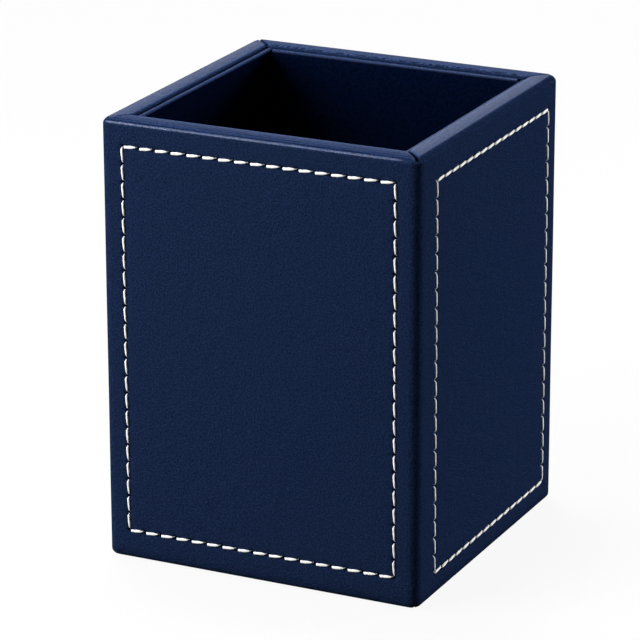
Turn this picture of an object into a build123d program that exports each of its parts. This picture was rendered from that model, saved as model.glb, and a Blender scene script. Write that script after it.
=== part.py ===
from build123d import *
import os

# Square desk pen holder: a box of mitred boards. Each wall has its own leather cover, turned in
# over the rim and under the foot, with a rectangle of topstitching sunk in a stitching groove.
# The inside is lined with panels of thin leather turned over card.
# Millimetres, Z up, origin at the middle of the underside, front wall towards -Y.

# Overall size, measured over the leather.
body_width = 80.0
body_depth = 80.0
body_height = 107.5

# Boards of the box.
wall_board_thickness = 3.3
base_board_thickness = 3.0
board_corner_radius = 1.0
base_board_clearance = 0.1

# Outer leather covers.
cover_thickness = 1.2
rim_outer_radius = 1.8
rim_inner_radius = 0.8
foot_radius = 1.4
rim_turn_in = 14.0
foot_turn_in = 2.4
mitre_notch_depth = 0.45

# Lining panels: leather over card, standing on the base board.
lining_card_thickness = 0.6
lining_leather_thickness = 0.5
lining_edge_radius = 0.75
lining_turn_in = 10.0
lining_drop = 0.7
lining_clearance = 0.1
lining_corner_gap = 0.4

# Floor panel of the well: leather over card, between the lining panels.
floor_card_thickness = 1.0
floor_leather_thickness = 0.5
floor_clearance = 0.2

# Flocked pad under the base.
pad_thickness = 0.5
pad_inset = 2.5
pad_corner_radius = 3.0

# Topstitching: where the rectangle of stitches lies on each wall, and the stitches themselves.
front_seam_top_margin = 6.2
front_seam_bottom_margin = 7.1
front_seam_margin = 5.85
side_seam_top_margin = 7.3
side_seam_bottom_margin = 5.9
side_seam_front_margin = 9.5
side_seam_back_margin = 6.5
stitch_pitch_across = 4.0
stitch_pitch_down = 4.25
stitch_groove_depth = 0.35
stitch_groove_clearance = 0.1
thread_width = 0.8
thread_end_width = 0.45
thread_crown_width = 0.4
thread_taper_length = 0.9
thread_height = 0.7
needle_hole_clearance = 0.1

# Sizes that follow from the ones above.
corner_radius = board_corner_radius + cover_thickness
wall_thickness = wall_board_thickness + 2 * cover_thickness
board_inner_inset = cover_thickness + wall_board_thickness
foot_reach = board_inner_inset + foot_turn_in
board_bottom = pad_thickness + cover_thickness
board_top = body_height - cover_thickness
base_top = board_bottom + base_board_thickness
lining_thickness = lining_card_thickness + 2 * lining_leather_thickness
lining_top = body_height - lining_drop
lining_inset = wall_thickness + lining_clearance
well_inset = lining_inset + lining_thickness

# Cutting tools run this far past the faces that they cut.
overrun = 1.0


class Wall:
    """One wall, described as if it were the front one, and the turn that takes it to its side."""

    def __init__(self, name, turn, across, deep, margins):
        left_margin, right_margin, bottom_margin, top_margin = margins
        self.name = name
        self.turn = turn
        self.across = across
        self.deep = deep
        self.seam_left = -across / 2 + left_margin
        self.seam_right = across / 2 - right_margin
        self.seam_bottom = pad_thickness + bottom_margin
        self.seam_top = body_height - top_margin

    def place(self, shape):
        return Rot(0, 0, self.turn) * shape

    def outer_plane(self):
        """The outside face, with X to the right and Y up as seen from outside."""
        return Plane(origin=(0, -self.deep / 2, 0), x_dir=(1, 0, 0), z_dir=(0, -1, 0))


# Margins of the seams of each wall, as seen from outside: left, right, bottom, top.
front_margins = (front_seam_margin, front_seam_margin, front_seam_bottom_margin, front_seam_top_margin)
side_levels = (side_seam_bottom_margin, side_seam_top_margin)
right_margins = (side_seam_front_margin, side_seam_back_margin) + side_levels
left_margins = (side_seam_back_margin, side_seam_front_margin) + side_levels

walls = [
    Wall("front", 0, body_width, body_depth, front_margins),
    Wall("right", 90, body_depth, body_width, right_margins),
    Wall("back", 180, body_width, body_depth, front_margins),
    Wall("left", 270, body_depth, body_width, left_margins),
]


def column(width, depth, inset, bottom, top, radius=0.0):
    """An upright block, set in by the same amount on all four sides of a width by depth body."""
    inner_width = width - 2 * inset
    inner_depth = depth - 2 * inset
    if radius > 0:
        outline = RectangleRounded(inner_width, inner_depth, radius)
    else:
        outline = Rectangle(inner_width, inner_depth)
    return extrude(Plane.XY.offset(bottom) * outline, amount=top - bottom)


def slab(x_min, x_max, y_min, y_max, z_min, z_max):
    """A block between the given limits."""
    return Pos(x_min, y_min, z_min) * Box(
        x_max - x_min, y_max - y_min, z_max - z_min, align=(Align.MIN, Align.MIN, Align.MIN)
    )


def mitred(ring, wall):
    """The part of a ring that belongs to the front wall, cut at the corners along the mitres."""
    half = wall.across / 2
    front = -wall.deep / 2
    reach = foot_reach + overrun
    wedge = make_face(
        Polyline(
            (-half - overrun, front - overrun),
            (half + overrun, front - overrun),
            (half - reach, front + reach),
            (-half + reach, front + reach),
            close=True,
        )
    )
    return ring & extrude(wedge, amount=body_height + overrun)


def make_board(wall):
    """Wall board with mitred ends and rounded outer upright edges."""
    outside = column(wall.across, wall.deep, cover_thickness, board_bottom, board_top, board_corner_radius)
    inside = column(wall.across, wall.deep, board_inner_inset, board_bottom, board_top)
    return mitred(outside - inside, wall)


def make_notches(wall):
    """V cuts across the rim along the mitres, where the two turned-in edges roll away."""
    half_diagonal = mitre_notch_depth
    run = 2 * (wall_thickness + overrun)
    cutter = Box(run, half_diagonal * 2**0.5, half_diagonal * 2**0.5)
    cutter = Rot(45, 0, 0) * cutter
    corner_x = wall.across / 2 - wall_thickness / 2
    corner_y = -wall.deep / 2 + wall_thickness / 2
    right = Pos(corner_x, corner_y, body_height) * Rot(0, 0, -45) * cutter
    left = Pos(-corner_x, corner_y, body_height) * Rot(0, 0, 45) * cutter
    return [right, left]


def make_stitch_groove(wall):
    """The channel that the thread lies in: a closed rectangle on the outside of the wall."""
    width = wall.seam_right - wall.seam_left
    height = wall.seam_top - wall.seam_bottom
    channel = thread_width + 2 * stitch_groove_clearance
    middle = Pos((wall.seam_left + wall.seam_right) / 2, (wall.seam_bottom + wall.seam_top) / 2)
    frame = Rectangle(width + channel, height + channel)
    frame -= Rectangle(width - channel, height - channel)
    return extrude(wall.outer_plane() * middle * frame, amount=-stitch_groove_depth)


def make_cover(wall):
    """Leather of one wall: outside face, rim, turned-in edge behind the board and under the foot."""
    across = wall.across
    deep = wall.deep
    skin = column(across, deep, 0, pad_thickness, body_height, corner_radius)
    skin = fillet(skin.edges().group_by(Axis.Z)[-1], rim_outer_radius)
    skin = fillet(skin.edges().group_by(Axis.Z)[0], foot_radius)
    turn_in_end = body_height - rim_turn_in
    skin -= column(across, deep, wall_thickness, turn_in_end, body_height + overrun)
    skin -= column(across, deep, board_inner_inset, board_bottom, turn_in_end)
    skin -= column(across, deep, foot_reach, pad_thickness - overrun, board_bottom)
    board_space = column(across, deep, cover_thickness, board_bottom, board_top, board_corner_radius)
    board_space -= column(across, deep, board_inner_inset, board_bottom, board_top)
    cover = mitred(skin - board_space, wall)
    rim_edges = cover.edges().filter_by(Axis.X).group_by(Axis.Z)[-1]
    cover = fillet(rim_edges.sort_by(Axis.Y)[-1], rim_inner_radius)
    cover -= make_notches(wall)
    return cover - make_stitch_groove(wall)


def make_stitch(length):
    """One stitch: straight in the middle, drawn in at both ends, sloping up from its seat to a crown."""
    half_length = length / 2
    half_width = thread_width / 2
    half_end = thread_end_width / 2
    shoulder = half_length - thread_taper_length
    quarter = [(half_length, half_end), (shoulder, half_width)]
    upper = quarter + [(-x, y) for x, y in reversed(quarter)]
    outline = upper + [(x, -y) for x, y in reversed(upper)]
    share = thread_crown_width / thread_width
    seat = [Vector(x, y, 0) for x, y in outline]
    crown = [Vector(x * share, y * share, thread_height) for x, y in outline]
    faces = [Face(Wire.make_polygon(seat)), Face(Wire.make_polygon(crown))]
    for near in range(len(outline)):
        far = (near + 1) % len(outline)
        faces.append(Face(Wire.make_polygon([seat[near], seat[far], crown[far], crown[near]])))
    return Solid(Shell(faces))


def make_stitching(wall):
    """The four rows of stitches of one wall, which share a needle hole at each corner."""
    left = wall.seam_left
    right = wall.seam_right
    bottom = wall.seam_bottom
    top = wall.seam_top
    hole = thread_end_width + 2 * needle_hole_clearance
    seat = wall.outer_plane().offset(-stitch_groove_depth).location
    stitches = []

    count = round((right - left) / stitch_pitch_across)
    pitch = (right - left) / count
    stitch = make_stitch(pitch - hole)
    for level in (bottom, top):
        for number in range(count):
            stitches.append(seat * Pos(left + (number + 0.5) * pitch, level) * stitch)

    count = round((top - bottom) / stitch_pitch_down)
    pitch = (top - bottom) / count
    stitch = Rot(0, 0, 90) * make_stitch(pitch - hole)
    for column_x in (left, right):
        for number in range(count):
            stitches.append(seat * Pos(column_x, bottom + (number + 0.5) * pitch) * stitch)

    return Compound(stitches)


def lining_half_width(wall):
    """Half the width of a lining panel: the side ones run through, the others fit between."""
    if wall.name in ("left", "right"):
        return wall.across / 2 - lining_inset
    return wall.across / 2 - well_inset - lining_corner_gap


def make_lining_card(wall):
    """Thin card that stiffens one lining panel."""
    half = lining_half_width(wall)
    back = -wall.deep / 2 + lining_inset + lining_leather_thickness
    card_top = lining_top - lining_leather_thickness
    return slab(-half, half, back, back + lining_card_thickness, base_top, card_top)


def make_lining(wall):
    """Lining leather of one wall, turned over the top of its card and down behind it."""
    half = lining_half_width(wall)
    back = -wall.deep / 2 + lining_inset
    front = back + lining_thickness
    turn_in_end = lining_top - lining_turn_in
    sheet = slab(-half, half, back, front, base_top, lining_top)
    top_edges = sheet.edges().filter_by(Axis.X).group_by(Axis.Z)[-1]
    sheet = fillet(top_edges, lining_edge_radius)
    sheet -= make_lining_card(wall)
    behind = slab(-half, half, back, back + lining_leather_thickness, base_top, turn_in_end)
    return sheet - behind


def make_floor_card():
    """Thin card that stiffens the floor panel."""
    inset = well_inset + floor_clearance + floor_leather_thickness
    return column(body_width, body_depth, inset, base_top, base_top + floor_card_thickness)


def make_floor_lining():
    """Lining leather on the floor of the well, turned down over the edges of its card."""
    top = base_top + floor_card_thickness + floor_leather_thickness
    sheet = column(body_width, body_depth, well_inset + floor_clearance, base_top, top)
    return sheet - make_floor_card()


def make_base_board():
    """Bottom board, between the wall boards and on the turned-in leather of the covers."""
    inset = board_inner_inset + base_board_clearance
    return column(body_width, body_depth, inset, board_bottom, base_top)


def make_base_pad():
    """Flocked pad that the holder stands on, over the turned-in leather."""
    return column(body_width, body_depth, pad_inset, 0, pad_thickness, pad_corner_radius)


def make_nodes():
    """Every piece of the holder by its name."""
    nodes = {
        "base_pad": make_base_pad(),
        "base_board": make_base_board(),
        "floor_card": make_floor_card(),
        "floor_lining": make_floor_lining(),
    }
    for wall in walls:
        nodes[wall.name + "_board"] = wall.place(make_board(wall))
        nodes[wall.name + "_cover"] = wall.place(make_cover(wall))
        nodes[wall.name + "_stitching"] = wall.place(make_stitching(wall))
        nodes[wall.name + "_lining_card"] = wall.place(make_lining_card(wall))
        nodes[wall.name + "_lining"] = wall.place(make_lining(wall))
    return nodes


os.makedirs("parts", exist_ok=True)
for name, shape in make_nodes().items():
    export_step(shape, "parts/" + name + ".step")
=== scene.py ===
import math

import bmesh
import bpy
import numpy as np
from mathutils import Matrix, Vector


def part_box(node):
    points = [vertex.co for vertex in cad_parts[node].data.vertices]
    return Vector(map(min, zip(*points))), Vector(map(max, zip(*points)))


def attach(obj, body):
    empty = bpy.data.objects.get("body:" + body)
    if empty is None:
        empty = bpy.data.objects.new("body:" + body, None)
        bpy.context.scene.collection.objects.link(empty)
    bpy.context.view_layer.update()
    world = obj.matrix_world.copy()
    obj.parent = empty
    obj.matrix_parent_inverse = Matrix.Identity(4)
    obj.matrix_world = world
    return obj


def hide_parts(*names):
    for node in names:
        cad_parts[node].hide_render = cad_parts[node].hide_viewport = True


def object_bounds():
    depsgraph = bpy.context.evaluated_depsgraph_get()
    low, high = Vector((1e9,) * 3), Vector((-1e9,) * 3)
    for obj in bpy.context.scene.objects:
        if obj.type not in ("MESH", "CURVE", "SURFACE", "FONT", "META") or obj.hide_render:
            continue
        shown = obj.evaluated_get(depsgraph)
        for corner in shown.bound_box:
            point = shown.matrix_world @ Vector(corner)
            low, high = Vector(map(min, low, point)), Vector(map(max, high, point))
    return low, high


# Looks of a square leather pen holder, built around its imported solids. Metres, Z up, front wall towards -Y.

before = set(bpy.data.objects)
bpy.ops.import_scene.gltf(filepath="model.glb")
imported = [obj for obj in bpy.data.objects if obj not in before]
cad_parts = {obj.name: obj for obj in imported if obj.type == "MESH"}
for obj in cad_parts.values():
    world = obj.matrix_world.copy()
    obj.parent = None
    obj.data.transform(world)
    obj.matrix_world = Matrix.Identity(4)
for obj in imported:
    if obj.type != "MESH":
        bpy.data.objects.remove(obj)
cad_low, cad_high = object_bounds()

MM = 0.001

# The four walls, each described as if it were the front one, and the turn that takes it to its side.
WALL_TURNS = {"front": 0, "right": 90, "back": 180, "left": 270}
WALL_ORDER = list(WALL_TURNS)

# Meshes: points closer than the weld become one, and edges sharper than the angle stay sharp.
WELD = 0.002 * MM
LEAST_EDGE = 0.001 * MM
SHARP_ANGLE = 38

# What each point of the leather carries: polish, paleness that is painted light, painted shade, and the band
# of wrinkles.
FINISH_KINDS = ("burnish", "pale", "painted_shade", "wrinkle")

# Outer leather. The turn-in rows are depths below the rim, from the edge of the turned-in leather up.
LEATHER = 1.2 * MM
GLUE_GAP = 0.1 * MM
CORNER_RADIUS = 2.6 * MM
RIM_OUTER_RADIUS = 1.8 * MM
RIM_INNER_RADIUS = 0.8 * MM
FOOT_RADIUS = 1.4 * MM
RIM_CROWN = 0.1 * MM
TURN_IN_ROWS = [14.0 * MM, 7.0 * MM, 3.0 * MM, 1.6 * MM]
CORNER_STEPS = 10
RIM_STEPS = 16
EDGE_STEPS = 9
ROUNDING_STEPS = 25
UNDERSIDE_STEPS = 4

# Zones of a cover, told by how far its surface faces out or up: the ranges over which they begin or end.
RIM_UP = (0.25, 0.85)
TOP_UP = (0.0, 0.1)
FOOT_DOWN = (0.3, 0.9)
FACE_OUT = (0.9, 1.0)
FLAT_OUT = (0.15, 0.45)
FLAT_UP = (0.7, 0.95)
EDGE_OUT = ((0.72, 0.79), (0.85, 0.93))
SHADE_OUT = ((0.35, 0.55), (0.85, 0.98))

# Where two covers meet: the rim edges roll down into a cleft along the mitre.
CLEFT_DEPTH = 1.0 * MM
CLEFT_WIDTH = 0.17 * MM
CLEFT_GAP = 0.32 * MM
CLEFT_SPREAD = 0.6 * MM
# Painted shade in the cleft: its width, and how far up the surface faces where it shows.
CLEFT_SHADE_WIDTH = 0.36 * MM
CLEFT_SHADE_UP = (0.3, 0.7)
NICK_DEPTH = 0.25 * MM
ROLL_DEPTH = 0.18 * MM
ROLL_WIDTH = 0.9 * MM
LIP_PLACE = 0.45 * MM
LIP_WIDTH = 0.16 * MM
LIP_SHINE = 0.5
MITRE_STATIONS = [step * MM for step in (0.04, 0.09, 0.15, 0.22, 0.3, 0.4, 0.55, 0.8, 1.2)]

# How far each cleft stands open, by the wall that has it on its right-hand end seen from outside.
CLEFT_OPEN = {"front": 1.0, "right": 0.2, "back": 0.5, "left": 0.2}

# Lengthwise creases on the front rim: how far in they lie, how strong and how wide they are.
RIM_CREASES = {
    "front": [(0.66 * MM, 0.95, 0.12 * MM), (1.55 * MM, 0.9, 0.2 * MM), (2.6 * MM, 0.4, 0.3 * MM)],
}
CREASE_DEPTH = 0.06 * MM
# How dark the creases are painted: painted shade.
CREASE_SHADE = 0.72

# How the creases wander across the rim, and come and go along it in a slow and a quick wave.
CREASE_WANDER = 0.07 * MM
CREASE_LENGTHS = (11.0 * MM, 6.7 * MM, 1.7 * MM)
CREASE_SHIFTS = (2.3, 1.7, 3.1)
CREASE_MEAN = 0.75
CREASE_SWING = 0.2

# A band of short slanted wrinkles on the back rim, shown only by painted shade in their folds.
WRINKLE_WALL = "back"
WRINKLE_PLACE = 5.2 * MM
WRINKLE_BAND = 0.4 * MM
WRINKLE_SIZE = (1.2 * MM, 0.32 * MM, 1.0 * MM)
WRINKLE_SLANT = 30.0
WRINKLE_RANGE = (0.46, 0.54)
WRINKLE_SHADE = 0.9

# How burnished each rim is, and the front edge, which ends before the corner.
RIM_SHINE = {"front": 0.13, "right": 0.33, "back": 0.12, "left": 0.28}
EDGE_SHINE = {"front": 1.0, "right": 0.0, "back": 0.0, "left": 0.0}
EDGE_END = (4.0 * MM, 0.8 * MM)

# How much paler the leather is painted, as painted light: on the flat of the rims where they face up, and as
# painted highlights along their inner edge and on the front edge.
RIM_PALE = {"front": 0.34, "right": 0.48, "back": 0.34, "left": 0.44}
RIM_PALE_END = {"front": 0.75, "right": 0.4, "back": 0.45, "left": 0.45}
RIM_PALE_FADE = 0.3
RIM_PALE_UP = (0.5, 0.8)
BRIM_PALE = {"front": 0.9, "right": 0.6, "back": 0.35, "left": 0.0}
BRIM_WIDTH = {"front": 0.35 * MM, "right": 0.35 * MM, "back": 0.9 * MM, "left": 0.35 * MM}
EDGE_PALE = {"front": 0.85, "right": 0.0, "back": 0.0, "left": 0.0}

# Painted shade: how dark the leather is painted along the outer edge of the rim and along the foot.
EDGE_SHADE = {"front": 0.0, "right": 0.3, "back": 0.0, "left": 0.0}
FOOT_SHADE = 0.4
FOOT_SHADE_HEIGHT = 1.9 * MM

# Topstitching. The solids' thread is as wide as THREAD_WIDTH, and the thread that shows is thinner.
THREAD_WIDTH = 0.8 * MM
ROW_THREAD = 0.68 * MM
COLUMN_THREAD = 0.52 * MM
PITCH_ACROSS = 4.0 * MM
PITCH_DOWN = 4.25 * MM
STITCH_SLANT = 0.15 * MM
TWIST_PITCH = 1.3 * MM
TWIST_RELIEF = 0.06
STITCH_SIDES = 12
STITCH_STEPS = 18

# Shares of a stitch's length: where it has risen and swollen, and where it starts to taper and to dive.
RISE_SHARE = 0.1
SWELL_SHARE = 0.16
TAPER_SHARE = 0.6
DIVE_SHARE = 0.88

# How high a stitch is, how far it stands out, how deep its ends dive, the gap to the next one, and the
# share of its width that is left at the end where it rises and at the end where it dives.
FULL_STITCH = {
    "height": 0.46 * MM, "lift": 0.06 * MM, "dive": 0.5 * MM, "gap": 0.45 * MM, "start": 0.4, "end": 0.3
}
FLAT_STITCH = {
    "height": 0.36 * MM, "lift": 0.03 * MM, "dive": 0.32 * MM, "gap": 0.22 * MM, "start": 0.6, "end": 0.6
}
STITCH_FORM = {"front": FULL_STITCH, "right": FLAT_STITCH, "back": FULL_STITCH, "left": FLAT_STITCH}

# The leather around the stitches.
CHANNEL_DEPTH = 0.16 * MM
CHANNEL_WIDTH = 0.75 * MM
PIT_DEPTH = 0.5 * MM
PIT_RADIUS = 0.42 * MM
# Painted shade in the needle holes: its radius and its strength.
HOLE_RADIUS = 0.42 * MM
HOLE_SHADE = 0.97

# Rows and columns of a cover: shares of each stitch, then steps towards the edges, which keep some room.
CELL_FRACTIONS = [0.0, 0.05, 0.12, 0.22, 0.5, 0.78, 0.88, 0.95]
MARGIN_STATIONS = [step * MM for step in (0.2, 0.45, 0.8, 1.3, 2.0, 3.0, 4.2, 5.6, 7.2)]
STATION_ROOM = 0.1 * MM

# Slow waves in the glued leather: length and phase across, length of the lean, length and phase down.
WAVE_HEIGHT = 0.025 * MM
WAVES = [(5.3 * MM, 0.7, math.inf, 7.1 * MM, 1.9), (9.7 * MM, 2.1, 17.0 * MM, 12.3 * MM, 0.4)]

# Lining panels, with a sagging top edge.
LINING_LEATHER = 0.5 * MM
LINING_EDGE_RADIUS = 0.75 * MM
LINING_TURN_IN = 10.0 * MM
LINING_SINK = {"front": 0.0, "right": 0.25 * MM, "back": 0.0, "left": 0.0}
LINING_SAG = 0.05 * MM
LINING_WAVE = 0.04 * MM
LINING_WAVE_LENGTHS = (4.1 * MM, 7.9 * MM)
LINING_WAVE_PHASE = 0.9
LINING_SHINE = 0.25
LINING_RIDGE_SHINE = {"front": 0.0, "right": 0.0, "back": 0.08, "left": 0.0}
LINING_COLUMNS = 40
LINING_ROWS = 24
LINING_EDGE_STEPS = 6

# Zones of a lining, told by how far its surface faces up.
LINING_SAG_UP = (0.2, 1.0)
LINING_SHINE_UP = (0.75, 0.98)
LINING_PALE_UP = (0.35, 0.75)
LINING_RIDGE_UP = ((0.25, 0.4), (0.55, 0.75))

# Floor of the well: rolled edges and a faint swell, which fades towards the edges.
FLOOR_EDGE_RADIUS = 0.45 * MM
FLOOR_SWELL = 0.05 * MM
FLOOR_SWELL_FADE = 4.0 * MM
FLOOR_SWELL_WAVES = (9, 7)
FLOOR_SWELL_PHASES = (1, 2)
FLOOR_STEPS = 24

# Colours, linear.
COVER_COLOUR = (0.0090, 0.0182, 0.0518)
# Painted light: the paler colour of the rims' tops and of their highlights.
PAINTED_LIGHT_COLOUR = (0.0270, 0.0546, 0.1554)
# The lining's face, far darker than its own top edge: painted shade of the well.
LINING_COLOUR = (0.0009, 0.0029, 0.0126)
# The lining's top edge, paler where it faces up: painted light.
LINING_EDGE_COLOUR = (0.0130, 0.0264, 0.0751)
THREAD_COLOUR = (0.93, 0.92, 0.895)
BOARD_COLOUR = (0.42, 0.30, 0.19)
CARD_COLOUR = (0.40, 0.39, 0.36)
FLOCK_COLOUR = (0.010, 0.014, 0.030)

# Leather: size and relief of the grain, how its pebbles waver, and what makes up its height.
COVER_GRAIN = 0.3 * MM
COVER_RELIEF = 0.24 * MM
LINING_GRAIN = 0.34 * MM
LINING_RELIEF = 0.1 * MM
WARP_SCALE = 1.3
WARP_REACH = 0.9
FIBRE_SCALE = 1.6
CLOUD_SIZE = 2.6 * MM
PEBBLE_SHARE = 0.5
FIBRE_SHARE = 1.6
CLOUD_SHARE = 2.0

# Leather: light and dark patches of its colour, as factors of the colour and of the painted light's colour,
# the factor that gives painted shade, and the beads of its polish.
PATCH_SIZE = 0.4 * MM
PATCH_RANGE = (0.36, 0.64)
FACE_TONES = (1.6, 0.6)
PAINTED_LIGHT_TONES = (1.3, 0.7)
PAINTED_SHADE_TONE = 0.02
LEATHER_ROUGHNESS = (0.45, 0.7)
BEAD_SIZE = 0.5 * MM
BEAD_RANGE = (0.35, 0.65)
BEAD_SHINE = (0.6, 1.4)

# Thread: fibres and patches.
THREAD_FIBRE = 0.16 * MM
THREAD_RELIEF = 0.05 * MM
THREAD_PATCH = 0.8 * MM
THREAD_TONES = (1.05, 0.9)
THREAD_ROUGHNESS = (0.6, 0.9)
THREAD_DEPTH = 0.5 * MM

# Board, card and flock: size and relief of the specks, and patches that are a few specks wide.
BOARD_SPECKS = (0.9 * MM, 0.06 * MM)
CARD_SPECKS = (0.5 * MM, 0.03 * MM)
FLOCK_SPECKS = (0.25 * MM, 0.12 * MM)
SPECKS_IN_PATCH = 3
FIBROUS_TONES = (1.25, 0.75)
FIBROUS_ROUGHNESS = (0.75, 1.0)

# Camera, fitted to the outline in the photograph.
CAMERA_PLACE = (371.03 * MM, -776.78 * MM, 345.79 * MM)
CAMERA_AZIMUTH = 25.75
CAMERA_ELEVATION = 18.825
CAMERA_ROLL = 0.133
CAMERA_LENS = 216.52
CAMERA_SENSOR = 36.0
CAMERA_REACH = 100.0

# Floor and room.
FLOOR_HALF = 60.0
FLOOR_COLOUR = (0.06, 0.06, 0.06, 1.0)
FLOOR_GLOW = 0.92
FLOOR_SHADE = (0.04, 0.04, 0.04, 1.0)
ROOM_COLOUR = (1.0, 1.0, 1.0, 1.0)
AMBIENT = 0.05
HORIZON_LOW = 0.08
HORIZON_HIGH = 0.15

# Softboxes: azimuth and elevation in degrees, distance and size in metres, power in watts.
SOFTBOXES = {
    "key_softbox": (-44, 26, 0.55, 0.38, 5.7),
    "left_softbox": (-130, 75, 1.0, 0.3, 13.0),
    "right_softbox": (134, 8, 1.1, 0.4, 16.4),
    "back_softbox": (206, 18, 1.2, 0.7, 1.8),
}


def smooth(low, high, value):
    """0 below low, 1 above high, and a soft slope between."""
    share = np.clip((value - low) / (high - low), 0.0, 1.0)
    return share * share * (3.0 - 2.0 * share)


def zone(ranges, value):
    """1 between two ranges, rising over the first and falling over the second."""
    return smooth(*ranges[0], value) * (1 - smooth(*ranges[1], value))


def bell(value, width):
    """1 at zero, falling off to both sides over the width."""
    return np.exp(-((value / width) ** 2))


def direction(azimuth, elevation):
    """Which way a place lies from the holder: azimuth 0 is in front, 90 to the right."""
    turn = math.radians(azimuth)
    tilt = math.radians(elevation)
    return Vector((math.sin(turn) * math.cos(tilt), -math.cos(turn) * math.cos(tilt), math.sin(tilt)))


class Wall:
    """One wall as if it were the front one: x to the right, y into the wall, z up."""

    def __init__(self, name, turn):
        self.name = name
        self.turn = Matrix.Rotation(math.radians(turn), 3, "Z")
        cover_low, cover_high = self.box("_cover")
        lining_low, lining_high = self.box("_lining")
        stitch_low, stitch_high = self.box("_stitching")
        half_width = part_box("right_cover")[1].x
        half_depth = -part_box("front_cover")[0].y
        self.half = half_width if turn % 180 == 0 else half_depth
        self.face = cover_low.y
        self.foot = cover_low.z
        self.rim = cover_high.z
        self.reach = cover_high.y - cover_low.y
        self.thickness = round((lining_low.y - cover_low.y) / MM, 1) * MM - GLUE_GAP
        self.lining_low = lining_low
        self.lining_high = lining_high
        self.seam_left = stitch_low.x + THREAD_WIDTH / 2
        self.seam_right = stitch_high.x - THREAD_WIDTH / 2
        self.seam_bottom = stitch_low.z + THREAD_WIDTH / 2
        self.seam_top = stitch_high.z - THREAD_WIDTH / 2
        self.count_across = round((self.seam_right - self.seam_left) / PITCH_ACROSS)
        self.count_down = round((self.seam_top - self.seam_bottom) / PITCH_DOWN)

    def box(self, ending):
        """A node's box, turned back to the front."""
        low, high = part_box(self.name + ending)
        back = self.turn.inverted()
        ends = [back @ Vector(low), back @ Vector(high)]
        return (
            Vector([min(ends[0][i], ends[1][i]) for i in range(3)]),
            Vector([max(ends[0][i], ends[1][i]) for i in range(3)]),
        )

    def place(self, points):
        """Points of the front frame, taken to this wall's side."""
        return points @ np.array(self.turn).T

    def seams(self):
        """The four rows of stitches: start, direction, and the length and number of its stitches."""
        width = self.seam_right - self.seam_left
        height = self.seam_top - self.seam_bottom
        across = (width / self.count_across, self.count_across)
        down = (height / self.count_down, self.count_down)
        return [
            ((self.seam_left, self.seam_top), (1.0, 0.0)) + across,
            ((self.seam_left, self.seam_bottom), (1.0, 0.0)) + across,
            ((self.seam_left, self.seam_top), (0.0, -1.0)) + down,
            ((self.seam_right, self.seam_top), (0.0, -1.0)) + down,
        ]

    def near_seams(self, x, z):
        """For each row its length, and how far points lie along it, aside, and from a needle hole."""
        for (start_x, start_z), (way_x, way_z), pitch, count in self.seams():
            along = (x - start_x) * way_x + (z - start_z) * way_z
            aside = (x - start_x) * way_z - (z - start_z) * way_x
            from_hole = along - np.clip(np.round(along / pitch), 0, count) * pitch
            yield pitch * count, along, aside, from_hole


walls = [Wall(name, turn) for name, turn in WALL_TURNS.items()]


def new_piece(name, points, faces, material, replaced, finish=None):
    """A closed mesh piece that stands for a CAD node and rides on the part."""
    work = bmesh.new()
    layers = {kind: work.verts.layers.float.new(kind) for kind in FINISH_KINDS}
    verts = [work.verts.new(point) for point in points]
    for kind, values in (finish or {}).items():
        for vert, value in zip(verts, values):
            vert[layers[kind]] = value
    for face in faces:
        work.faces.new([verts[i] for i in face])
    bmesh.ops.remove_doubles(work, verts=work.verts, dist=WELD)
    bmesh.ops.dissolve_degenerate(work, edges=work.edges, dist=LEAST_EDGE)
    bmesh.ops.recalc_face_normals(work, faces=work.faces)
    mesh = bpy.data.meshes.new(name)
    work.to_mesh(mesh)
    work.free()
    mesh.shade_smooth()
    mesh.set_sharp_from_angle(angle=math.radians(SHARP_ANGLE))
    mesh.materials.append(material)
    piece = bpy.data.objects.new(name, mesh)
    bpy.context.collection.objects.link(piece)
    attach(piece, "root")
    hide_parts(replaced)


def sheet_faces(rows, columns, inner_columns):
    """Faces of a closed sheet: an outer grid, an inner grid with the same rows, and the edges between."""
    faces = []
    first_inner = rows * columns
    for row in range(rows - 1):
        for column in range(columns - 1):
            a = row * columns + column
            faces.append((a, a + 1, a + columns + 1, a + columns))
        for column in range(inner_columns - 1):
            a = first_inner + row * inner_columns + column
            faces.append((a, a + inner_columns, a + inner_columns + 1, a + 1))
        for outer, inner in ((0, 0), (columns - 1, inner_columns - 1)):
            a = row * columns + outer
            b = first_inner + row * inner_columns + inner
            faces.append((a, a + columns, b + inner_columns, b))
    for row in (0, rows - 1):
        outer = [row * columns + column for column in range(columns)]
        inner = [first_inner + row * inner_columns + column for column in range(inner_columns)]
        faces.append(outer + inner[::-1])
    return faces


def sheet_finish(kinds, unseen_count):
    """What the points of a closed sheet carry: values on the outer grid, nothing on the inner one."""
    unseen = np.zeros(unseen_count)
    return {kind: np.concatenate([values.ravel(), unseen]) for kind, values in kinds.items()}


def stations(low, high, count, room_low, room_high):
    """Places along a wall that follow the needle holes, then spread out towards both edges."""
    pitch = (high - low) / count
    places = [low + (cell + part) * pitch for cell in range(count) for part in CELL_FRACTIONS]
    places.append(high)
    places += [low - step for step in MARGIN_STATIONS if low - step > room_low + STATION_ROOM]
    places += [high + step for step in MARGIN_STATIONS if high + step < room_high - STATION_ROOM]
    return places


def cover_columns(wall):
    """Places across the straight part of a cover, finest where it meets its neighbours."""
    end = wall.half - CORNER_RADIUS
    places = stations(wall.seam_left, wall.seam_right, wall.count_across, -end, end)
    places = [x for x in places if abs(x) < end - MITRE_STATIONS[-1] - STATION_ROOM]
    for step in MITRE_STATIONS:
        places += [end - step, step - end]
    places += [end, -end]
    return np.array(sorted(places))


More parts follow.
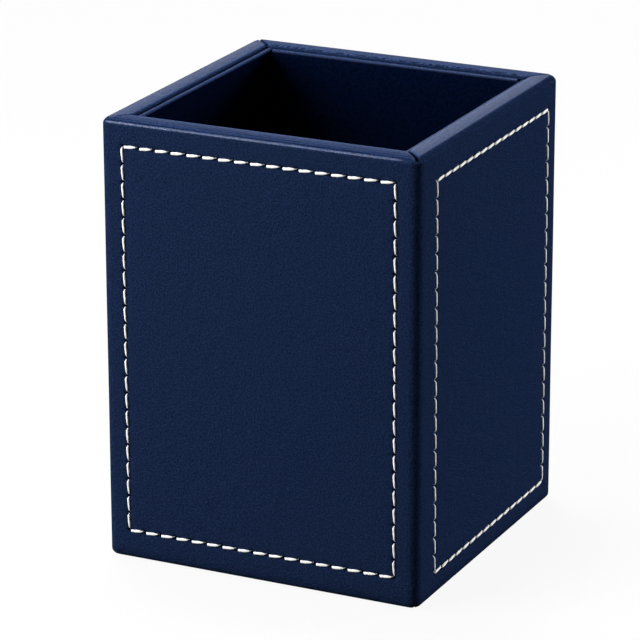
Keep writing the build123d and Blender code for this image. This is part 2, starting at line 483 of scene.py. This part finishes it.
def cover_profile(wall):
    """The leather's outside from its turned-in edge over the rim to the foot: inset, height, normal."""
    rows = []
    rim, foot, thick = wall.rim, wall.foot, wall.thickness
    for depth in TURN_IN_ROWS:
        rows.append((thick, rim - depth, -1.0, 0.0))
    for angle in np.linspace(0, math.pi / 2, EDGE_STEPS):
        inset = thick - RIM_INNER_RADIUS * (1 - math.cos(angle))
        height = rim - RIM_INNER_RADIUS * (1 - math.sin(angle))
        rows.append((inset, height, -math.cos(angle), math.sin(angle)))
    for inset in np.linspace(thick - RIM_INNER_RADIUS, RIM_OUTER_RADIUS, RIM_STEPS)[1:-1]:
        rows.append((inset, rim, 0.0, 1.0))
    for angle in np.linspace(0, math.pi / 2, ROUNDING_STEPS):
        inset = RIM_OUTER_RADIUS * (1 - math.sin(angle))
        height = rim - RIM_OUTER_RADIUS * (1 - math.cos(angle))
        rows.append((inset, height, math.sin(angle), math.cos(angle)))
    top = rim - RIM_OUTER_RADIUS
    bottom = foot + FOOT_RADIUS
    heights = stations(wall.seam_bottom, wall.seam_top, wall.count_down, bottom, top)
    for height in sorted(heights, reverse=True):
        if bottom + STATION_ROOM < height < top - STATION_ROOM:
            rows.append((0.0, height, 1.0, 0.0))
    for angle in np.linspace(0, math.pi / 2, EDGE_STEPS):
        inset = FOOT_RADIUS * (1 - math.cos(angle))
        height = foot + FOOT_RADIUS * (1 - math.sin(angle))
        rows.append((inset, height, math.cos(angle), -math.sin(angle)))
    for inset in np.linspace(FOOT_RADIUS, wall.reach, UNDERSIDE_STEPS)[1:]:
        rows.append((inset, foot, 0.0, -1.0))
    return np.array(rows)


def wall_grid(wall, insets, heights, columns, across_end):
    """Points of a sheet round a wall, rounded up to the mitre at both ends, and which way they turn."""
    turns = np.linspace(0, math.pi / 4, CORNER_STEPS)
    radius = np.maximum(CORNER_RADIUS - insets, 0.0)[:, None]
    straight = wall.half - insets[:, None] - radius
    middle = columns[None, :] / across_end * straight
    side = straight + radius * np.sin(turns)[None, :]
    depth = insets[:, None] + radius * (1 - np.cos(turns))[None, :]
    x = np.hstack([-side[:, :0:-1], middle, side[:, 1:]])
    y = np.hstack([depth[:, :0:-1], insets[:, None] * np.ones_like(middle), depth[:, 1:]])
    z = heights[:, None] * np.ones_like(x)
    swing = np.concatenate([-turns[:0:-1], np.zeros(columns.size), turns[1:]])
    return np.stack([x, wall.face + y, z], axis=2), swing[None, :] * np.ones_like(x)


def seam_dip(wall, x, z):
    """How far the thread pulls the leather in: a shallow channel, with a pit at each needle hole."""
    dip = np.zeros_like(x)
    for length, along, aside, from_hole in wall.near_seams(x, z):
        inside = smooth(-CHANNEL_WIDTH, 0, along) * smooth(-CHANNEL_WIDTH, 0, length - along)
        channel = CHANNEL_DEPTH * bell(aside, CHANNEL_WIDTH)
        pit = PIT_DEPTH * bell(np.hypot(aside, from_hole), PIT_RADIUS)
        dip = np.maximum(dip, inside * channel + pit)
    return dip


def needle_holes(wall, x, z):
    """1 in the middle of each needle hole, 0 between."""
    hole = np.zeros_like(x)
    for _, _, aside, from_hole in wall.near_seams(x, z):
        hole = np.maximum(hole, bell(np.hypot(aside, from_hole), HOLE_RADIUS))
    return hole


def soft_wave(x, z):
    """Slow unevenness of glued leather."""
    wave = np.zeros_like(x)
    for across, phase, lean, down, phase_down in WAVES:
        wave += np.sin(x / across + phase + z / lean) * np.sin(z / down + phase_down)
    return WAVE_HEIGHT * wave


def rim_creases(wall, x, inset):
    """Lengthwise creases in a rim, from 0 to 1, which come and go along the wall."""
    crease = np.zeros_like(x)
    for number, (place, strength, width) in enumerate(RIM_CREASES.get(wall.name, [])):
        pairs = zip(CREASE_LENGTHS, CREASE_SHIFTS)
        wander, slow, quick = [np.sin(x / length + shift * number) for length, shift in pairs]
        fade = np.clip(CREASE_MEAN + CREASE_SWING * slow + CREASE_SWING * quick, 0, 1)
        crease += strength * fade * bell(inset - place - CREASE_WANDER * wander, width)
    return np.clip(crease, 0, 1)


def make_cover(wall, material):
    """The outer leather of one wall, with its rim, clefts, stitch channel and turned-in edges."""
    insets, heights, out, up = cover_profile(wall).T
    out, up = out[:, None], up[:, None]
    columns = cover_columns(wall)
    end = wall.half - CORNER_RADIUS
    points, swing = wall_grid(wall, insets, heights, columns, end)
    x, y, z = points[..., 0], points[..., 1], points[..., 2]
    normal = np.stack([out * np.sin(swing), -out * np.cos(swing), up * np.ones_like(swing)], axis=2)
    inset_grid = insets[:, None] * np.ones_like(x)

    # Distance to the nearer mitre, and how much of the rim, the foot or the face a point belongs to.
    mitre = np.abs((wall.half - np.abs(x)) - (y - wall.face)) / math.sqrt(2)
    on_rim = smooth(*RIM_UP, up)
    on_foot = smooth(*FOOT_DOWN, -up)
    on_face = smooth(*FACE_OUT, out)

    # Dents: the crown of the rim, the clefts and what lies beside them, creases, seams and waves.
    across_rim = (inset_grid - RIM_OUTER_RADIUS) / (wall.thickness - RIM_INNER_RADIUS - RIM_OUTER_RADIUS)
    crown = RIM_CROWN * (2 * np.clip(across_rim, 0, 1) - 1) ** 2
    before = WALL_ORDER[WALL_ORDER.index(wall.name) - 1]
    opening = np.where(x > 0, CLEFT_OPEN[wall.name], CLEFT_OPEN[before])
    cleft = on_rim * opening * bell(mitre, CLEFT_WIDTH)
    parting = on_rim * opening * bell(mitre, CLEFT_SPREAD)
    roll = np.where(x < 0, on_rim * opening * bell(mitre, ROLL_WIDTH), 0.0)
    lip = np.where(x > 0, on_rim * opening * bell(mitre - LIP_PLACE, LIP_WIDTH), 0.0)
    crease = on_rim * rim_creases(wall, x, inset_grid)
    dent = on_rim * crown
    dent += CLEFT_DEPTH * cleft
    dent += on_foot * NICK_DEPTH * bell(mitre, CLEFT_WIDTH)
    dent += on_face * (seam_dip(wall, x, z) + soft_wave(x, z))
    dent += ROLL_DEPTH * roll
    dent += CREASE_DEPTH * crease
    points = points - normal * dent[..., None]
    back_off = 0.5 * CLEFT_GAP * parting / math.sqrt(2)
    points[..., 0] -= np.sign(x) * back_off
    points[..., 1] -= back_off

    # The inside of the leather lies against the board: only the corner columns are needed there.
    board_inner = wall.thickness - LEATHER
    inner_insets = np.where(heights > wall.foot + LEATHER, np.clip(insets, LEATHER, board_inner), insets)
    inner_insets = np.where(insets < LEATHER, LEATHER, inner_insets)
    inner_heights = np.clip(heights, wall.foot + LEATHER, wall.rim - LEATHER)
    inner, _ = wall_grid(wall, inner_insets, inner_heights, np.array([-end, end]), end)

    # Dark in clefts, creases and needle holes, along the foot and under the rim.
    in_cleft = smooth(*CLEFT_SHADE_UP, up) * opening * np.exp(-((mitre / CLEFT_SHADE_WIDTH) ** 4))
    in_hole = HOLE_SHADE * on_face * needle_holes(wall, x, z)
    under_rim = EDGE_SHADE[wall.name] * zone(SHADE_OUT, out) * smooth(*TOP_UP, up) * np.ones_like(x)
    near_foot = FOOT_SHADE * bell(z - wall.foot, FOOT_SHADE_HEIGHT)
    painted_shade = np.max([in_cleft, in_hole, CREASE_SHADE * crease, under_rim, near_foot], axis=0)

    # Polished on the rim, on its outer edge and beside a cleft; painted light on the rim's flat, and painted
    # highlights along its inner edge and on its outer edge.
    on_flat = (1 - smooth(*FLAT_OUT, out)) * smooth(*FLAT_UP, up)
    edge_run = 1 - smooth(end - EDGE_END[0], end - EDGE_END[1], x)
    on_edge = zone(EDGE_OUT, out) * smooth(*TOP_UP, up) * edge_run
    shine = RIM_SHINE[wall.name] * on_flat * (1 - roll) + EDGE_SHINE[wall.name] * on_edge
    shine = np.maximum(shine, LIP_SHINE * lip) * (1 - painted_shade)
    brim = bell(inset_grid - (wall.thickness - RIM_INNER_RADIUS), BRIM_WIDTH[wall.name])
    pale_end = RIM_PALE_END[wall.name]
    painted_light = (1 - smooth(pale_end - RIM_PALE_FADE, pale_end, out)) * smooth(*RIM_PALE_UP, up)
    pale = RIM_PALE[wall.name] * painted_light + BRIM_PALE[wall.name] * on_rim * brim
    pale = pale + EDGE_PALE[wall.name] * on_edge
    # The band of wrinkles, darkened in their folds by the shader as painted shade.
    wrinkle = np.zeros_like(x)
    if wall.name == WRINKLE_WALL:
        wrinkle = on_rim * bell(inset_grid - WRINKLE_PLACE, WRINKLE_BAND)

    kinds = {"burnish": shine, "pale": pale, "painted_shade": painted_shade, "wrinkle": wrinkle}
    finish = sheet_finish(kinds, inner.size // 3)
    faces = sheet_faces(*x.shape, inner.shape[1])
    vertices = np.vstack([points.reshape(-1, 3), inner.reshape(-1, 3)])
    name = wall.name + "_leather"
    new_piece(name, wall.place(vertices), faces, material, wall.name + "_cover", finish)


def make_stitch(pitch, width, form):
    """One stitch along x, with z out of the leather: blunt where it rises, drawn out where it dives."""
    share = np.linspace(0, 1, STITCH_STEPS)
    along = (share - 0.5) * (pitch - form["gap"])
    rise = smooth(0.0, RISE_SHARE, share) * (1 - smooth(DIVE_SHARE, 1.0, share))
    lift = -form["dive"] + (form["dive"] + form["lift"]) * rise
    aside = 2 * STITCH_SLANT * (share - 0.5)
    swell = form["start"] + (1 - form["start"]) * smooth(0.0, SWELL_SHARE, share)
    swell = swell * (1 - (1 - form["end"]) * smooth(TAPER_SHARE, 1.0, share))
    angle = np.linspace(0, 2 * math.pi, STITCH_SIDES, endpoint=False)
    twist = math.pi * along[:, None] / TWIST_PITCH
    ply = 1 + TWIST_RELIEF * np.cos(2 * (angle[None, :] - twist))
    ring = swell[:, None] * ply
    x = along[:, None] * np.ones_like(ring)
    y = aside[:, None] + width / 2 * ring * np.cos(angle)[None, :]
    z = lift[:, None] + form["height"] / 2 * ring * np.sin(angle)[None, :]
    return np.stack([x, y, z], axis=2)


def tube_faces(steps, sides, first):
    """Faces of a closed tube whose rings follow each other."""
    faces = []
    for step in range(steps - 1):
        for side in range(sides):
            near = first + step * sides
            far = near + sides
            after = (side + 1) % sides
            faces.append((near + side, near + after, far + after, far + side))
    faces.append(tuple(range(first + sides - 1, first - 1, -1)))
    last = first + (steps - 1) * sides
    faces.append(tuple(range(last, last + sides)))
    return faces


def make_stitching(wall, material):
    """All stitches of one wall, each a piece of twisted thread between two needle holes."""
    points = []
    faces = []
    for (start_x, start_z), (way_x, way_z), pitch, count in wall.seams():
        width = ROW_THREAD if way_x else COLUMN_THREAD
        stitch = make_stitch(pitch, width, STITCH_FORM[wall.name])
        for number in range(count):
            middle = (number + 0.5) * pitch
            along, aside, out = stitch[..., 0] + middle, stitch[..., 1], stitch[..., 2]
            x = start_x + along * way_x - aside * way_z
            z = start_z + along * way_z + aside * way_x
            faces += tube_faces(STITCH_STEPS, STITCH_SIDES, len(points) * STITCH_STEPS * STITCH_SIDES)
            points.append(np.stack([x, wall.face - out, z], axis=2).reshape(-1, 3))
    name = wall.name + "_topstitching"
    new_piece(name, wall.place(np.vstack(points)), faces, material, wall.name + "_stitching")


def make_lining(wall, material):
    """Lining leather of one wall, folded over the top of its card and down behind it."""
    low, high = wall.lining_low, wall.lining_high.copy()
    high.z -= LINING_SINK[wall.name]
    radius = LINING_EDGE_RADIUS
    rows = [(high.y, z, -1.0, 0.0) for z in np.linspace(low.z, high.z - radius, LINING_ROWS)]
    for angle in np.linspace(0, math.pi / 2, LINING_EDGE_STEPS)[1:]:
        y = high.y - radius * (1 - math.cos(angle))
        rows.append((y, high.z - radius * (1 - math.sin(angle)), -math.cos(angle), math.sin(angle)))
    for angle in np.linspace(math.pi / 2, math.pi, LINING_EDGE_STEPS):
        y = low.y + radius * (1 + math.cos(angle))
        rows.append((y, high.z - radius * (1 - math.sin(angle)), -math.cos(angle), math.sin(angle)))
    rows.append((low.y, high.z - LINING_TURN_IN, 1.0, 0.0))
    y, z, out, up = np.array(rows).T
    x = np.linspace(low.x, high.x, LINING_COLUMNS)
    grid = np.stack(np.broadcast_arrays(x[None, :], y[:, None], z[:, None]), axis=2).copy()
    short, long = LINING_WAVE_LENGTHS
    wave = LINING_WAVE * np.sin(x / short + LINING_WAVE_PHASE) * np.sin(x / long)
    grid[..., 2] -= smooth(*LINING_SAG_UP, up)[:, None] * (LINING_SAG + wave[None, :])
    inner_y = np.clip(y, low.y + LINING_LEATHER, high.y - LINING_LEATHER)
    inner_z = np.minimum(z, high.z - LINING_LEATHER)
    ends = np.array([low.x, high.x])
    inner = np.stack(np.broadcast_arrays(ends[None, :], inner_y[:, None], inner_z[:, None]), axis=2)
    faces = sheet_faces(len(rows), LINING_COLUMNS, ends.size)
    on_ridge = zone(LINING_RIDGE_UP, up) * (out < 0)
    shine = LINING_SHINE * smooth(*LINING_SHINE_UP, up) + LINING_RIDGE_SHINE[wall.name] * on_ridge
    # The lining's top edge is painted paler where it faces up: painted light.
    pale = smooth(*LINING_PALE_UP, up)
    kinds = {"burnish": np.repeat(shine, LINING_COLUMNS), "pale": np.repeat(pale, LINING_COLUMNS)}
    finish = sheet_finish(kinds, inner.size // 3)
    vertices = np.vstack([grid.reshape(-1, 3), inner.reshape(-1, 3)])
    name = wall.name + "_lining_leather"
    new_piece(name, wall.place(vertices), faces, material, wall.name + "_lining", finish)


def make_floor_lining(material):
    """The leather on the floor of the well: a flat panel with rolled edges and a faint swell."""
    low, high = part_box("floor_lining")
    half_x, half_y = high.x, high.y
    wave_x, wave_y = FLOOR_SWELL_WAVES
    phase_x, phase_y = FLOOR_SWELL_PHASES
    steps = FLOOR_STEPS
    grid = []
    for u in np.linspace(-1, 1, steps):
        for v in np.linspace(-1, 1, steps):
            x = half_x * u
            y = half_y * v
            edge = min(half_x - abs(x), half_y - abs(y))
            roll = FLOOR_EDGE_RADIUS * max(0.0, 1 - edge / (2 * FLOOR_EDGE_RADIUS)) ** 2
            swell = FLOOR_SWELL * math.sin(wave_x * u + phase_x) * math.sin(wave_y * v + phase_y)
            grid.append((x, y, high.z - roll + swell * min(1.0, edge / FLOOR_SWELL_FADE)))
    top_count = steps * steps
    bottom = [(x, y, low.z) for x, y, _ in grid]
    faces = []
    for i in range(steps - 1):
        for j in range(steps - 1):
            a = i * steps + j
            faces.append((a, a + steps, a + steps + 1, a + 1))
            b = top_count + a
            faces.append((b, b + 1, b + steps + 1, b + steps))
    border = list(range(steps))
    border += [i * steps + steps - 1 for i in range(1, steps)]
    border += [(steps - 1) * steps + j for j in range(steps - 2, -1, -1)]
    border += [i * steps for i in range(steps - 2, 0, -1)]
    for near, far in zip(border, border[1:] + border[:1]):
        faces.append((near, far, top_count + far, top_count + near))
    new_piece("floor_leather", grid + bottom, faces, material, "floor_lining")


def feed(tree, node, inputs):
    """Links or constants on the inputs of a shader node, by name or by number."""
    for key, value in inputs.items():
        if isinstance(value, bpy.types.NodeSocket):
            tree.links.new(value, node.inputs[key])
        else:
            node.inputs[key].default_value = value


def add_node(tree, kind, inputs, **settings):
    """A shader node with its settings, and with links or constants on its inputs."""
    node = tree.nodes.new(kind)
    for key, value in settings.items():
        setattr(node, key, value)
    feed(tree, node, inputs)
    return node


def start_material(name):
    """A node material with its tree and shader, and the coordinates that its textures use."""
    material = bpy.data.materials.new(name)
    material.use_nodes = True
    tree = material.node_tree
    place = add_node(tree, "ShaderNodeTexCoord", {}).outputs["Object"]
    return material, tree, tree.nodes["Principled BSDF"], place


def tone(colour, factor):
    """A colour made lighter or darker."""
    return tuple(min(1.0, part * factor) for part in colour) + (1.0,)


def noise(tree, place, scale, detail, roughness=0.5):
    """A noise pattern."""
    inputs = {"Vector": place, "Scale": scale, "Detail": detail, "Roughness": roughness}
    return add_node(tree, "ShaderNodeTexNoise", inputs)


def mottled(tree, place, colour, size, light, dark):
    """A colour that drifts between two tones in patches of a given size."""
    patches = noise(tree, place, 1 / size, detail=5.0, roughness=0.6)
    ramp = add_node(tree, "ShaderNodeValToRGB", {"Fac": patches.outputs["Fac"]})
    for stop, position, factor in zip(ramp.color_ramp.elements, PATCH_RANGE, (dark, light)):
        stop.position = position
        stop.color = tone(colour, factor)
    return ramp.outputs["Color"]


def ranged(tree, value, low, high, start=0.0, end=1.0, **settings):
    """A value from start to end taken to the range low to high."""
    inputs = {"Value": value, "From Min": start, "From Max": end, "To Min": low, "To Max": high}
    return add_node(tree, "ShaderNodeMapRange", inputs, **settings).outputs["Result"]


def calc(tree, operation, *values, clamp=False):
    """A calculation with shader values and constants."""
    inputs = dict(enumerate(values))
    return add_node(tree, "ShaderNodeMath", inputs, operation=operation, use_clamp=clamp).outputs[0]


def mixed(tree, share, first, second):
    """Two colours mixed by a value."""
    mix = add_node(tree, "ShaderNodeMix", {"Factor": share}, data_type="RGBA")
    places = [number for number, socket in enumerate(mix.inputs) if socket.type == "RGBA"]
    feed(tree, mix, dict(zip(places, (first, second))))
    return [socket for socket in mix.outputs if socket.type == "RGBA"][0]


def bumped(tree, height, strength, distance):
    """Normals of a surface with a relief."""
    inputs = {"Height": height, "Strength": strength, "Distance": distance}
    return add_node(tree, "ShaderNodeBump", inputs).outputs["Normal"]


def carried(tree, kind):
    """What the points of the leather carry of one kind of finish."""
    return add_node(tree, "ShaderNodeAttribute", {}, attribute_name=kind).outputs["Fac"]


def leather(name, colour, painted_light_colour, grain, relief):
    """Fine-grained leather: cloudy colour, pebbled grain, painted light and shade, and a polish where
    burnished.
    """
    material, tree, shader, place = start_material(name)
    burnish, pale, painted_shade, wrinkle = [carried(tree, kind) for kind in FINISH_KINDS]

    # Relief: pebbles with wavering borders, fibres and slow clouds.
    warp = noise(tree, place, WARP_SCALE / grain, detail=3.0)
    reach = WARP_REACH * grain
    inputs = {0: warp.outputs["Color"], 1: (reach, reach, reach), 2: place}
    bent = add_node(tree, "ShaderNodeVectorMath", inputs, operation="MULTIPLY_ADD")
    inputs = {"Vector": bent.outputs[0], "Scale": 1 / grain}
    pebbles = add_node(tree, "ShaderNodeTexVoronoi", inputs, feature="F1").outputs["Distance"]
    fibre = noise(tree, place, FIBRE_SCALE / grain, detail=6.0, roughness=0.7).outputs["Fac"]
    cloud = noise(tree, place, 1 / CLOUD_SIZE, detail=4.0, roughness=0.6).outputs["Fac"]
    height = calc(tree, "MULTIPLY_ADD", pebbles, -PEBBLE_SHARE, PEBBLE_SHARE)
    height = calc(tree, "MULTIPLY_ADD", fibre, FIBRE_SHARE, height)
    height = calc(tree, "MULTIPLY_ADD", cloud, CLOUD_SHARE, height)

    # Colour: paler where painted light is carried, dark with painted shade where it is carried and in the
    # folds of the wrinkles.
    slant = (0.0, 0.0, math.radians(WRINKLE_SLANT))
    inputs = {"Vector": place, "Rotation": slant, "Scale": WRINKLE_SIZE}
    lean = add_node(tree, "ShaderNodeMapping", inputs, vector_type="TEXTURE")
    fold = noise(tree, lean.outputs[0], 1.0, detail=2.0)
    fold = ranged(tree, fold.outputs["Fac"], 0.0, WRINKLE_SHADE, *WRINKLE_RANGE)
    dark = calc(tree, "MULTIPLY_ADD", wrinkle, fold, painted_shade, clamp=True)
    plain = mottled(tree, place, colour, PATCH_SIZE, *FACE_TONES)
    painted_light = mottled(tree, place, painted_light_colour, PATCH_SIZE, *PAINTED_LIGHT_TONES)
    skin = mixed(tree, dark, mixed(tree, pale, plain, painted_light), tone(colour, PAINTED_SHADE_TONE))

    # Polish: in beads, where the leather is burnished and not dark.
    beads = noise(tree, place, 1 / BEAD_SIZE, detail=2.0)
    beads = ranged(tree, beads.outputs["Fac"], *BEAD_SHINE, *BEAD_RANGE)
    clean = calc(tree, "MULTIPLY", burnish, ranged(tree, dark, 1.0, 0.0))
    feed(tree, shader, {
        "Base Color": skin,
        "Roughness": ranged(tree, fibre, *LEATHER_ROUGHNESS),
        "Specular IOR Level": 0.0,
        "Normal": bumped(tree, height, 1.0, relief),
        "Coat Weight": calc(tree, "MULTIPLY", clean, beads, clamp=True),
        "Coat Roughness": 0.26,
        "Coat Normal": bumped(tree, height, 0.2, relief),
    })
    return material


def thread_material():
    """Off-white twisted thread with fine fibres."""
    material, tree, shader, place = start_material("thread")
    fibre = noise(tree, place, 1 / THREAD_FIBRE, detail=4.0).outputs["Fac"]
    feed(tree, shader, {
        "Base Color": mottled(tree, place, THREAD_COLOUR, THREAD_PATCH, *THREAD_TONES),
        "Roughness": ranged(tree, fibre, *THREAD_ROUGHNESS),
        "Specular IOR Level": 0.2,
        "Normal": bumped(tree, fibre, 0.6, THREAD_RELIEF),
        "Subsurface Weight": 0.4,
        "Subsurface Radius": (1.0, 1.0, 1.0),
        "Subsurface Scale": THREAD_DEPTH,
    })
    return material


def fibrous(name, colour, size, relief):
    """Pressed fibre: board, card or flock, with specks and a soft tooth."""
    material, tree, shader, place = start_material(name)
    speck = noise(tree, place, 1 / size, detail=8.0, roughness=0.75).outputs["Fac"]
    feed(tree, shader, {
        "Base Color": mottled(tree, place, colour, SPECKS_IN_PATCH * size, *FIBROUS_TONES),
        "Roughness": ranged(tree, speck, *FIBROUS_ROUGHNESS),
        "Specular IOR Level": 0.15,
        "Normal": bumped(tree, speck, 0.8, relief),
    })
    return material


def dress_node(node, material):
    """A procedural material on a CAD node that stays."""
    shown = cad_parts[node]
    shown.data.materials.clear()
    shown.data.materials.append(material)


def background_share(tree):
    """1 for the rays that show the background: to the camera, in gloss and through glass."""
    path = add_node(tree, "ShaderNodeLightPath", {})
    seen = calc(tree, "MAXIMUM", path.outputs["Is Camera Ray"], path.outputs["Is Glossy Ray"])
    return calc(tree, "MAXIMUM", seen, path.outputs["Is Transmission Ray"])


def make_floor():
    """A pale floor, white where the camera sees it, that keeps the holder's shadow."""
    half = FLOOR_HALF
    mesh = bpy.data.meshes.new("floor")
    corners = [(-half, -half, 0), (half, -half, 0), (half, half, 0), (-half, half, 0)]
    mesh.from_pydata(corners, [], [(0, 1, 2, 3)])
    floor = bpy.data.objects.new("floor", mesh)
    bpy.context.collection.objects.link(floor)
    material = bpy.data.materials.new("floor_paper")
    material.use_nodes = True
    tree = material.node_tree
    tree.nodes.remove(tree.nodes["Principled BSDF"])
    plain = add_node(tree, "ShaderNodeBsdfDiffuse", {"Color": FLOOR_COLOUR})
    shade = add_node(tree, "ShaderNodeBsdfDiffuse", {"Color": FLOOR_SHADE})
    glow = add_node(tree, "ShaderNodeEmission", {"Strength": FLOOR_GLOW})
    white = add_node(tree, "ShaderNodeAddShader", {0: shade.outputs[0], 1: glow.outputs[0]})
    inputs = {0: background_share(tree), 1: plain.outputs[0], 2: white.outputs[0]}
    mix = add_node(tree, "ShaderNodeMixShader", inputs)
    feed(tree, tree.nodes["Material Output"], {"Surface": mix.outputs[0]})
    mesh.materials.append(material)


def make_world():
    """A dim room, white at the level of the horizon where the background shows."""
    world = bpy.data.worlds.new("studio")
    bpy.context.scene.world = world
    world.use_nodes = True
    tree = world.node_tree
    tree.nodes.clear()
    way = add_node(tree, "ShaderNodeTexCoord", {}).outputs["Generated"]
    height = add_node(tree, "ShaderNodeSeparateXYZ", {"Vector": way}).outputs["Z"]
    span = (1.0, AMBIENT, HORIZON_LOW, HORIZON_HIGH)
    level = ranged(tree, height, *span, interpolation_type="SMOOTHSTEP")
    strength = ranged(tree, background_share(tree), AMBIENT, level)
    room = add_node(tree, "ShaderNodeBackground", {"Color": ROOM_COLOUR, "Strength": strength})
    add_node(tree, "ShaderNodeOutputWorld", {"Surface": room.outputs[0]})


def add_softbox(name, azimuth, elevation, distance, size, power):
    """A square softbox aimed at the middle of the holder."""
    away = direction(azimuth, elevation)
    middle = Vector((0, 0, (cad_low.z + cad_high.z) / 2))
    light = bpy.data.lights.new(name, "AREA")
    light.shape = "SQUARE"
    light.size = size
    light.energy = power
    lamp = bpy.data.objects.new(name, light)
    lamp.location = middle + away * distance
    lamp.rotation_euler = (-away).to_track_quat("-Z", "Y").to_euler()
    bpy.context.collection.objects.link(lamp)


def add_camera():
    """The camera of the photograph."""
    data = bpy.data.cameras.new("camera")
    data.lens = CAMERA_LENS
    data.sensor_width = CAMERA_SENSOR
    data.clip_end = CAMERA_REACH
    camera = bpy.data.objects.new("camera", data)
    back = direction(CAMERA_AZIMUTH, CAMERA_ELEVATION)
    aim = (-back).to_track_quat("-Z", "Y").to_matrix()
    roll = Matrix.Rotation(math.radians(-CAMERA_ROLL), 3, "Z")
    camera.rotation_euler = (aim @ roll).to_euler()
    camera.location = CAMERA_PLACE
    bpy.context.collection.objects.link(camera)
    bpy.context.scene.camera = camera


cover_leather = leather("cover_leather", COVER_COLOUR, PAINTED_LIGHT_COLOUR, COVER_GRAIN, COVER_RELIEF)
lining_leather = leather("lining_leather", LINING_COLOUR, LINING_EDGE_COLOUR, LINING_GRAIN, LINING_RELIEF)
thread = thread_material()
board = fibrous("board", BOARD_COLOUR, *BOARD_SPECKS)
card = fibrous("card", CARD_COLOUR, *CARD_SPECKS)
flock = fibrous("pad_flock", FLOCK_COLOUR, *FLOCK_SPECKS)

for wall in walls:
    make_cover(wall, cover_leather)
    make_stitching(wall, thread)
    make_lining(wall, lining_leather)
    dress_node(wall.name + "_board", board)
    dress_node(wall.name + "_lining_card", card)
make_floor_lining(lining_leather)
dress_node("base_board", board)
dress_node("floor_card", card)
dress_node("base_pad", flock)

make_floor()
make_world()
for name, settings in SOFTBOXES.items():
    add_softbox(name, *settings)
add_camera()

bpy.context.scene.view_settings.view_transform = "Standard"
